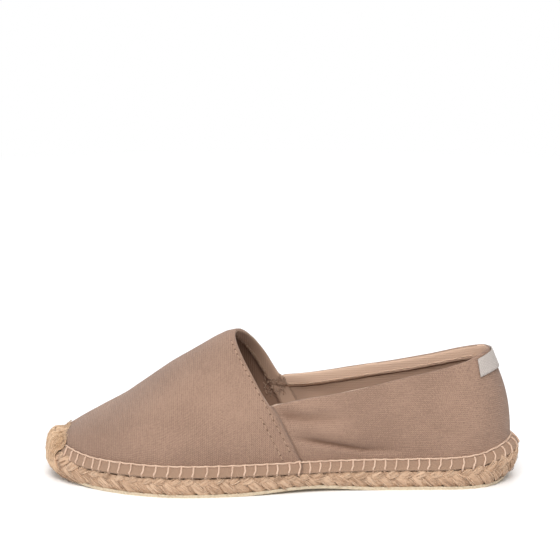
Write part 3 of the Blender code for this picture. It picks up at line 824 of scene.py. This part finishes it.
def insideSpot(side, y, z):
    # The first place on the cloth's inner face straight across from the shoe's middle.
    middle = Vector((topMiddle, y, z))
    hit, normal, _, _ = canvasTree.ray_cast(middle, Vector((side, 0, 0)))
    return (hit, normal) if hit is not None else (None, None)


def isCollarEdge(edge):
    spot = edge.verts[0].co
    return bendOf(edge) > 1.0 and spot.z > 45 * mm and spot.y > -3 * mm


def collarRow(below):
    # A line on the inner face of the quarter, this far below the collar.
    rim = Ring(endsOf(coarse, isCollarEdge), reach=2)
    line = []
    for spot in rim.rows:
        spot = Vector(spot) - Vector((0, 0, below))
        if spot.y < 3 * mm:
            continue
        middle = Vector((0, min(spot.y, 75 * mm), spot.z))
        ray = (spot - middle).normalized()
        hit = canvasTree.ray_cast(middle, ray)[0]
        if hit is not None:
            line.append(hit - ray * 0.05 * mm)
    return line


def makeStitches(look, rows, name, material):
    yarns, holes = Yarns(), []
    for row in rows:
        along, spots = 0.0, [row[0]]
        for a, b in zip(row, row[1:]):
            if (b - a).length > 6 * mm:
                spots = [b]
                continue
            along += (b - a).length
            spots.append(b)
            if along >= look["length"] + look["gap"]:
                first, second = spots[0], spots[-1]
                ahead = (second - first).normalized()
                second = first + ahead * look["length"]
                line, facing = [], []
                for k in range(7):
                    part = k / 6
                    hit, normal = onCanvas(first.lerp(second, part), 0)
                    line.append(hit + normal * (math.sin(math.pi * part) * 0.32 - 0.12) * mm)
                    facing.append(normal)
                half = look["thick"] / 2
                tint = random.uniform(0.3, 0.7)
                yarns.add(line, facing, half, half, 6, 2, 2 * math.pi / look["lay"], 0.12, tint)
                holes += [first - ahead * 0.2 * mm, second + ahead * 0.2 * mm]
                along, spots = 0.0, [spots[-1]]
    return yarns.piece(name, material), holes


def makeHoles(holes, radius, material):
    # Flat dark rounds of painted shade lie just on the cloth where the needle went through.
    yarns = Yarns()
    for hole in holes:
        hit, normal = onCanvas(hole, 0)
        line = [hit - normal * 0.2 * mm, hit + normal * 0.06 * mm]
        yarns.add(line, normal.orthogonal(), radius, radius, 8)
    return yarns.piece("needle_hole_shade", material)


seamRows = []
for side in (1, -1):
    seamRows.append(seamRow(side, machine["firstRow"], 25 * mm, 80 * mm))
    seamRows.append(seamRow(side, machine["secondRow"], 23 * mm, 47 * mm))
# Spun sewing thread dyed to the canvas: as matt as the cloth, so that only its relief shows.
seamFinish = fibreMaterial("canvas-coloured sewing thread", *machine["seamColours"], 3.0)
seamStitches, seamHoles = makeStitches(machine, seamRows, "seam_stitches", seamFinish)
settle(seamStitches, "canvas")
# The same thread in paler colours: light dots in the shade of the inner wall.
hemFinish = fibreMaterial("paler hem thread", *machine["hemColours"], 3.0)
hemStitches, _ = makeStitches(machine, [collarRow(machine["hemRow"])], "hem_stitches", hemFinish)
settle(hemStitches, "canvas")
# Deep shade where a needle went in: dark and quite matt, so that it reads as a hole.
paintedShadeFinish = plainNoiseMaterial(
    "shade in a needle hole", *machine["paintedShadeColours"], 0.5 * mm, 1.0, 0.1 * mm
)
needleHoles = makeHoles(seamHoles, machine["hole"], paintedShadeFinish)
settle(needleHoles, "canvas")


def makeHemShade(material):
    # Painted shade: a dark line along the turned hem's lower edge, on the inner face.
    yarns, line, facing = Yarns(), [], []
    half, deep = 0.27 * mm, 0.14 * mm
    for spot in collarRow(machine["hemEdge"]):
        if line and (spot - line[-1]).length > 6 * mm:
            yarns.add(line, facing, half, deep, 6)
            line, facing = [], []
        hit, normal = onCanvas(spot, 0.02 * mm)
        line.append(hit)
        facing.append(normal)
    yarns.add(line, facing, half, deep, 6)
    return yarns.piece("hem_shade", material)


hemShade = makeHemShade(paintedShadeFinish)
settle(hemShade, "canvas")


def addHair(yarns, spot, normal, way, length, radius, lift):
    # A short loose fibre that starts on a surface and ends off it.
    line = []
    bend = random.uniform(-0.3, 0.3)
    aside = way.cross(normal)
    for k in range(5):
        part = k / 4
        sway = way * (length * part) + aside * (bend * length * part**2)
        line.append(spot + sway + normal * (lift * part**1.5))
    yarns.add(line, normal, radius, radius, 3, tint=random.random())


fray = {"edge": 420, "tack": 100, "hemWide": 6.9 * mm}  # fibres a side, and the throat's hem


def makeFray(look, material):
    # The raw edge of the throat's hem inside the vamp, and the rough bar tack at its foot.
    yarns = Yarns()
    for side in (1, -1):
        line = seams[side]
        for k in range(look["edge"]):
            spot = line[int(random.uniform(0.33, 0.97) * (len(line) - 1))]
            spot = spot + Vector((0, -0.9, -0.4)) * look["hemWide"]
            start = Vector((topMiddle, spot.y, spot.z - 8 * mm))
            ray = (spot - start).normalized()
            hit, normal, _, _ = canvasTree.ray_cast(start, ray)
            if hit is None:
                continue
            normal = -ray if normal.dot(ray) > 0 else normal
            way = Vector((0, -0.9, random.uniform(-0.7, 0.3))).normalized()
            spot = hit + normal * 0.05 * mm + Vector((0, 1, 0)) * random.uniform(0, 1) * mm
            addHair(yarns, spot, normal, way, random.uniform(0.7, 1.5) * mm, 0.11 * mm, 0.25 * mm)
        for k in range(look["tack"]):
            y, z = random.uniform(-10, 1.5) * mm, random.uniform(37, 48) * mm
            hit, normal = insideSpot(side, y, z)
            if hit is None:
                continue
            normal = Vector((-side, 0, 0))
            way = Vector((0, random.uniform(-1, 1), random.choice((-1, 1)) * 0.8)).normalized()
            length = random.uniform(0.9, 2.0) * mm
            addHair(yarns, hit + normal * 0.15 * mm, normal, way, length, 0.24 * mm, 0.12 * mm)
    return yarns.piece("hem_fray", material)


hemFray = makeFray(fray, seamFinish)
settle(hemFray, "canvas")


# The jute sole: a core in the CAD piece's shape, and the plait's two rows that show on its side.
# Each strand runs from one share of the side's height to another, leans over so many pitches,
# and is so many mm wide to each side of its middle.
plait = {
    "pitch": 8.1 * mm,
    "coreInset": 0.8 * mm,
    "upper": {"from": 0.60, "to": 1.16, "wide": 2.25, "run": 1.35, "shift": 0.45},
    "lower": {"from": 0.72, "to": -0.10, "wide": 2.9, "run": 1.5, "shift": 0.0},
    "behind": 1.9 * mm,  # the strands' middles lie this far in from the CAD piece's side
    "bulge": 0.9 * mm,  # and a strand's own middle stands out by this much
    "deep": 0.95 * mm,
    "lay": 17.0 * mm,
    "hairs": 12,  # loose fibres on each strand
    "hairThick": 0.14 * mm,
    "strandColours": ("#cfb297", "#c1a186", "#ab8b71"),
    "hairColours": ("#e6ccb1", "#cbaa8e", "#aa896f"),
    "gapColours": ("#c6a78c", "#ab8c73"),
    "heelOut": 0.8 * mm,  # the plait stands out this much more round the heel
    "toeOut": 4.2 * mm,
    "bareFrom": -122.0 * mm,  # the toe guard covers the braid further forward than this
}
juteCopy = cleanCopy("jute_sole", "jute_core")
juteTree = treeOf(juteCopy)
outlineSpots = []
for step in range(720):
    angle = 2 * math.pi * step / 720
    ray = Vector((math.sin(angle), math.cos(angle), 0))
    hits = [juteTree.ray_cast(ray * 0.3 + Vector((0, 0, level * mm)), -ray)[0] for level in range(4, 15)]
    hits = [hit for hit in hits if hit is not None]
    outlineSpots.append(max(hits, key=lambda hit: hit.to_2d().length))
outline = Ring([(spot.x, spot.y, 0) for spot in outlineSpots], reach=6)
print(f"espadrille: outline {outline.length / mm:.0f} mm round")


def wallTable(ring, steps=9):
    # Lowest and highest point of the braid's side, and how far in it lies between them.
    rows = []
    for k in range(ring.count):
        along = k / ring.count * ring.length
        spot, out = ring.at(along), ring.out(along)
        under = juteTree.ray_cast(spot - out * (9 * mm) - Vector((0, 0, 0.01)), Vector((0, 0, 1)))[0]
        over = juteTree.ray_cast(spot - out * (2.2 * mm) + Vector((0, 0, 0.05)), Vector((0, 0, -1)))[0]
        lowest, highest = under.z, over.z
        row = [lowest, highest]
        for i in range(steps):
            level = lowest + (highest - lowest) * min(max(i / (steps - 1), 0.03), 0.97)
            hit = juteTree.ray_cast(spot + out * 0.02 + Vector((0, 0, level)), -out)[0]
            row.append((spot - hit).dot(out) if hit is not None else 2 * mm)
        rows.append(row)
    return blur(blur(np.array(rows), 6), 4)


walls = wallTable(outline)


def onWall(along, up, inset):
    # A spot on the braid's side: up is 0 at its foot and 1 under the canvas, inset is inwards.
    place = along / outline.length * outline.count
    row = walls[int(place) % outline.count]
    steps = len(row) - 2
    share = min(max(up, 0.0), 1.0) * (steps - 1)
    k = min(int(share), steps - 2)
    tuck = row[2 + k] + (row[3 + k] - row[2 + k]) * (share - k)
    spot = outline.at(along) - outline.out(along) * (tuck + inset)
    spot.z = row[0] + (row[1] - row[0]) * up
    return spot


def addLoose(hairs, line, facing, half, deep, thick):
    # One fibre that lies on a strand along part of it, with its end off the strand.
    first = random.randint(1, 5)
    last = min(first + random.randint(4, 7), len(line) - 2)
    angle, drift = random.uniform(0.15, 0.85) * math.pi, random.uniform(-0.06, 0.06)
    lift = random.choice((0.1, 0.2, 0.3, 0.9)) * mm
    spots = []
    for k in range(first, last + 1):
        ahead = (line[k + 1] - line[k - 1]).normalized()
        flat = ahead.cross(facing[k]).normalized()
        up = flat.cross(ahead)
        turn = angle + drift * (k - first)
        off = 0.05 * mm + lift * ((k - first) / (last - first)) ** 2
        across, upward = math.cos(turn) * (half[k] + off), math.sin(turn) * (deep[k] + off)
        spots.append(line[k] + flat * across + up * upward)
    hairs.add(spots, facing[first], thick, thick, 3, tint=random.choice((-0.2, 0.5, 1.2)))


def makePlait(look, material, loose):
    yarns, hairs = Yarns(), Yarns()
    count = round(outline.length / look["pitch"])
    pitch = outline.length / count
    for name in ("lower", "upper"):
        row = look[name]
        for k in range(count):
            start = (k + row["shift"]) * pitch + random.uniform(-0.8, 0.8) * mm
            if max(outline.at(start).y, outline.at(start - row["run"] * pitch).y) < look["bareFrom"]:
                continue
            wide = row["wide"] * random.uniform(0.85, 1.2) * mm
            lift = random.uniform(-0.35, 0.3) * mm
            line, facing, half, deep = [], [], [], []
            for i in range(13):
                part = i / 12
                climb = 0.35 * part + 0.65 * ease(part)
                up = row["from"] + (row["to"] - row["from"]) * climb
                along = start - row["run"] * pitch * part
                bulge = math.sin(math.pi * min(max(part, 0.02), 0.98))
                atHeel = ease((outline.at(along).y - 98 * mm) / (20 * mm))
                atToe = ease((-outline.at(along).y - 101 * mm) / (20 * mm)) * (0.55 + 0.45 * up)
                inset = look["behind"] - lift - look["bulge"] * bulge
                inset -= look["heelOut"] * atHeel + look["toeOut"] * atToe
                tuck = 0.9 * mm if part in (0.0, 1.0) else 0  # both ends dive into the braid
                line.append(onWall(along, up, inset + tuck))
                facing.append(outline.out(along) + Vector((0, 0, (up - 0.55) * 0.5)))
                swell = 0.45 + 0.62 * bulge**0.7
                half.append(wide * swell)
                deep.append(look["deep"] * (0.6 + 0.4 * bulge))
            yarns.add(line, facing, half, deep, 18, 6, 2 * math.pi / look["lay"], 0.085, random.random())
            for _ in range(look["hairs"]):
                addLoose(hairs, line, facing, half, deep, look["hairThick"])
    return yarns.piece("jute_plait", material), hairs.piece("jute_fibres", loose)


# Retted jute, plaited: straw to pinkish brown and matt, with fine streaks along each strand.
juteFinish = fibreMaterial("plaited jute", *plait["strandColours"], 12.0)
# Single fibres off the strands: paler and darker than the strand they lie on.
looseFinish = fibreMaterial("loose jute fibres", *plait["hairColours"], 2.0)
# Packed jute behind the strands: the same stuff seen in the gaps, with no streaks.
juteGround = plainNoiseMaterial(
    "jute in the plait's gaps", *plait["gapColours"], 1.5 * mm, 0.95, 0.4 * mm
)


def makeCore(piece, look):
    # The core's side moves in behind the strands, and its hollow keeps the footbed's place.
    spots = []
    for vert in piece.data.vertices:
        x, y = vert.co.x, vert.co.y
        gap, k = min(((x - row[0]) ** 2 + (y - row[1]) ** 2, k) for k, row in enumerate(outline.rows[::4]))
        along = k * 4 / outline.count * outline.length
        isSide = math.sqrt(gap) < 5 * mm
        spots.append(vert.co - outline.out(along) * (look["coreInset"] if isSide else 0))
    for vert, spot in zip(piece.data.vertices, spots):
        vert.co = spot
    piece.data.update()


makeCore(juteCopy, plait)
juteCopy.data.materials.append(juteGround)
settle(juteCopy, "jute", "jute_sole")
jutePlait, juteFibres = makePlait(plait, juteFinish, looseFinish)
settle(jutePlait, "jute")
settle(juteFibres, "jute")


# The toe guard: yarns laid side by side over the tip, over a shell in the CAD piece's shape.
guard = {
    "yarn": 1.35 * mm,
    "count": 56,
    "centreY": -88 * mm,  # the yarns spread from a place inside the toe
    "centreZ": 14 * mm,
    "spread": 62.0,  # degrees to each side of straight ahead
    "lay": 5.0 * mm,
    "fuzz": 900,  # short hairs in all
    "puff": 1.0 * mm,  # the guard stands out over its CAD shape by this much
    "yarnColours": ("#dfc6a8", "#ceae90", "#a98969"),
    "gapColours": ("#c0a080", "#98785c"),
    "round": 5.0 * mm,  # how far from its back edge the guard is rounded off
    "footFrom": -118.8 * mm,  # further forward than this the yarns run down to the outsole
}
capShell = cleanCopy("toe_cap", "toe_guard_ground")
cutFaces = [face for face in capShell.data.polygons if face.normal.y > 0.85]
cutArea = sum(face.area for face in cutFaces)
cutSpot = sum((face.center * face.area for face in cutFaces), Vector()) / cutArea
cutOut = sum((face.normal * face.area for face in cutFaces), Vector()).normalized()


def flushShare(spot):
    # 0 at the guard's cut edge and 1 where it has its full thickness, round between them.
    part = min(max((cutSpot - spot).dot(cutOut) / guard["round"], 0.0), 1.0)
    return math.sqrt(1 - (1 - part) ** 2)


def flush(spot):
    share = flushShare(spot)
    low = 1 - ease((spot.z - 15 * mm) / (7 * mm))
    cloth = canvasTree.find_nearest(spot)[0]
    puff = (spot - cloth).normalized() * (guard["puff"] * share * (1 - low))
    return cloth.lerp(spot, max(0.1 + 0.9 * share, low)) + puff


subdivided(capShell, 3)
for vert in capShell.data.vertices:
    vert.co = flush(vert.co)
capTree = treeOf(capShell)
# Soft jute yarn, hardly spun: paler and fuzzier than the plait, and matt.
guardFinish = fibreMaterial("jute guard yarn", *guard["yarnColours"], 4.0)
# Matted fibre in the gaps between the yarns: darker, since little light gets there.
guardGround = plainNoiseMaterial(
    "felted jute under the guard yarn", *guard["gapColours"], 0.9 * mm, 0.95, 0.4 * mm
)
capShell.data.materials.append(guardGround)
settle(capShell, "jute_yarn", "toe_cap")


def makeGuard(look, material):
    yarns, hairs = Yarns(), Yarns()
    boxLow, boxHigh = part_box("toe_cap")
    centre = Vector(((boxLow.x + boxHigh.x) / 2, look["centreY"], look["centreZ"]))
    count = look["count"]
    for k in range(count):
        turn = math.radians(look["spread"]) * (2 * (k + 0.5) / count - 1)
        away = Vector((math.sin(turn), -math.cos(turn), 0))
        line, facing, thin = [], [], []
        for i in range(48):
            tilt = math.radians(-18 + 108 * i / 47)
            ray = away * math.cos(tilt) + Vector((0, 0, math.sin(tilt)))
            hit, normal, _, _ = capTree.ray_cast(centre + ray * 0.15, -ray)
            if hit is None or normal.dot(ray) < 0.2 or (hit - centre).length < 12 * mm:
                continue
            wobble = noise(Vector((k * 1.7, i * 0.35, 0))) * 0.35 * mm
            thin.append(0.3 + 0.7 * flushShare(hit))
            line.append(hit + normal * (0.25 * mm * thin[-1]) + away.cross(Vector((0, 0, 1))) * wobble)
            facing.append(normal)
        if len(line) > 5 and line[0].y < look["footFrom"]:
            low = line[0].copy()
            inwards = Vector((centre.x - low.x, centre.y - low.y, 0)).normalized()
            near = min(range(outline.count), key=lambda i: (Vector(outline.rows[i]) - low).to_2d().length)
            foot = walls[near][0] + 1.2 * mm
            for share, tuck in ((0.35, 0.2), (0.7, 1.2), (0.9, 2.6), (1.0, 4.2)):
                line.insert(0, Vector((low.x, low.y, low.z + (foot - low.z) * share)) + inwards * tuck * mm)
                facing.insert(0, (-inwards - Vector((0, 0, 0.5 * share))).normalized())
                thin.insert(0, 1.4)
        if len(line) > 5:
            radius = look["yarn"] / 2 * random.uniform(0.85, 1.1)
            back = (line[-1] - line[-2]).normalized()
            for _ in range(2):
                hit, normal = onCanvas(line[-1] + back * random.uniform(0.4, 1.1) * mm, 0.15 * mm)
                line.append(hit)
                facing.append(normal)
                thin.append(thin[-1] * 0.8)
            half = [radius * share for share in thin]
            tint = random.uniform(0.1, 0.9)
            yarns.add(line, facing, half, half, 8, 3, 2 * math.pi / look["lay"], 0.12, tint)
            for _ in range(look["fuzz"] // count):
                i = random.randint(0, len(line) - 2)
                aside = (line[i + 1] - line[i]).normalized()
                way = (aside + facing[i].cross(aside) * random.uniform(-0.9, 0.9)).normalized()
                spot = line[i] + facing[i] * radius * 0.6
                length, lift = random.uniform(1.0, 3.0) * mm, random.uniform(0.1, 0.6) * mm
                addHair(hairs, spot, facing[i], way, length, 0.09 * mm, lift)
    return yarns.piece("toe_guard_yarns", material), hairs.piece("toe_guard_fuzz", material)


guardYarns, guardFuzz = makeGuard(guard, guardFinish)
settle(guardYarns, "jute_yarn")
settle(guardFuzz, "jute_yarn")


# Bleached woven tape, left blank: off-white and matt, its threads just seen.
labelLook = {"light": "#c4bbb5", "dark": "#aba19a", "thread": 0.8 * mm}
label = cleanCopy("heel_label", "label_tape")
creaseAll(label)
subdivided(label, 2)
label.data.materials.append(wovenMaterial("woven label tape, blank", **labelLook))
settle(label, "label_cloth", "heel_label")

# Natural crepe rubber: cream, a little shiny, with a shallow crinkle.
outsoleLook = {
    "light": "#d6c6ae",
    "dark": "#c2b197",
    "grain": 1.2 * mm,
    "roughness": 0.6,
    "depth": 0.15 * mm,
}
outsole = cleanCopy("outsole", "crepe_outsole")
outsole.data.materials.append(plainNoiseMaterial("crepe rubber sheet", **outsoleLook))
settle(outsole, "crepe_rubber", "outsole")

# Plain-woven sock cloth: matt, a little darker than the hem inside.
insoleLook = {"light": "#b29984", "dark": "#8f7865", "thread": 1.2 * mm}
insole = cleanCopy("insole", "insole_sock")
insole.data.materials.append(wovenMaterial("woven sock cloth", **insoleLook))
settle(insole, "sock_cloth", "insole")
print("espadrille: label, outsole and insole dressed")

bpy.data.objects.remove(coarse)


# Floor, light and camera.
studio = {
    "pixels": 560,
    "scale": 0.5435 * mm,  # at the aim, for each pixel of the photograph
    "middle": -1.375 * mm,  # where the photograph's middle falls along the shoe
    "aim": 110 * mm,  # and above the floor
    "tilt": 12.0,  # degrees that the camera looks down
    "distance": 1.5,
    "room": 0.4,  # what the white room round the shoe lights it with
    "paper": 0.97,
    # name, place, looks at, size, watts
    "lamps": (
        ("key_softbox", (1.05, 0.0, 1.25), (0, 0, 0.04), 1.1, 26.0),
        ("toe_fill", (0.5, -1.4, 0.6), (0, 0, 0.04), 0.8, 5.0),
        ("backdrop_light", (-2.4, 0, 1.4), (-1.9, 0, 0), 2.0, 40.0),
    ),
}


def makeStudio(look):
    bpy.ops.mesh.primitive_plane_add(size=6, location=(0, 0, 0))
    floor = bpy.context.object
    floor.name = "floor"
    paper = bpy.data.materials.new("white paper floor")
    paper.use_nodes = True
    sheet = paper.node_tree.nodes["Principled BSDF"]
    sheet.inputs["Base Color"].default_value = (look["paper"], look["paper"], look["paper"], 1)
    sheet.inputs["Roughness"].default_value = 0.9
    tree = paper.node_tree
    place = addNode(tree, "ShaderNodeTexCoord")
    far = addNode(tree, "ShaderNodeVectorMath", {"operation": "LENGTH"}, links={0: (place, "Object")})
    fade = addNode(
        tree, "ShaderNodeMapRange", values={"From Min": 0.5, "From Max": 1.1}, links={0: (far, "Value")}
    )
    watched = addNode(tree, "ShaderNodeLightPath")  # only the camera sees the paper go white far off
    share = addNode(
        tree,
        "ShaderNodeMath",
        {"operation": "MULTIPLY"},
        links={0: (fade, 0), 1: (watched, "Is Camera Ray")},
    )
    glow = addNode(tree, "ShaderNodeEmission", values={"Strength": 1.0})
    mixed = addNode(tree, "ShaderNodeMixShader", links={0: (share, 0), 1: (sheet, 0), 2: (glow, 0)})
    tree.links.new(mixed.outputs[0], tree.nodes["Material Output"].inputs["Surface"])
    floor.data.materials.append(paper)
    world = bpy.data.worlds.new("soft room")
    bpy.context.scene.world = world
    world.use_nodes = True
    sky = world.node_tree.nodes["Background"]
    sky.inputs["Color"].default_value = (1, 1, 1, 1)
    seen = addNode(world.node_tree, "ShaderNodeLightPath")  # the camera sees white, the shoe gets less
    strength = addNode(
        world.node_tree,
        "ShaderNodeMath",
        {"operation": "MULTIPLY_ADD"},
        {1: 1 - look["room"], 2: look["room"]},
        {0: (seen, "Is Camera Ray")},
    )
    world.node_tree.links.new(strength.outputs[0], sky.inputs["Strength"])
    for name, place, goal, size, power in look["lamps"]:
        bpy.ops.object.light_add(type="AREA", location=place)
        lamp = bpy.context.object
        lamp.name = name
        lamp.data.size = size
        lamp.data.energy = power
        lamp.rotation_euler = (Vector(goal) - Vector(place)).to_track_quat("-Z", "Y").to_euler()
    tilt = math.radians(look["tilt"])
    aim = Vector((0, look["middle"], look["aim"]))
    spot = aim + Vector((math.cos(tilt), 0, math.sin(tilt))) * look["distance"]
    bpy.ops.object.camera_add(location=spot)
    camera = bpy.context.object
    camera.rotation_euler = (aim - spot).to_track_quat("-Z", "Y").to_euler()
    camera.data.sensor_width = 36
    camera.data.lens = 36 * look["distance"] / (look["pixels"] * look["scale"])
    bpy.context.scene.camera = camera
    bpy.context.scene.view_settings.view_transform = "Standard"


makeStudio(studio)
print("espadrille: studio set")
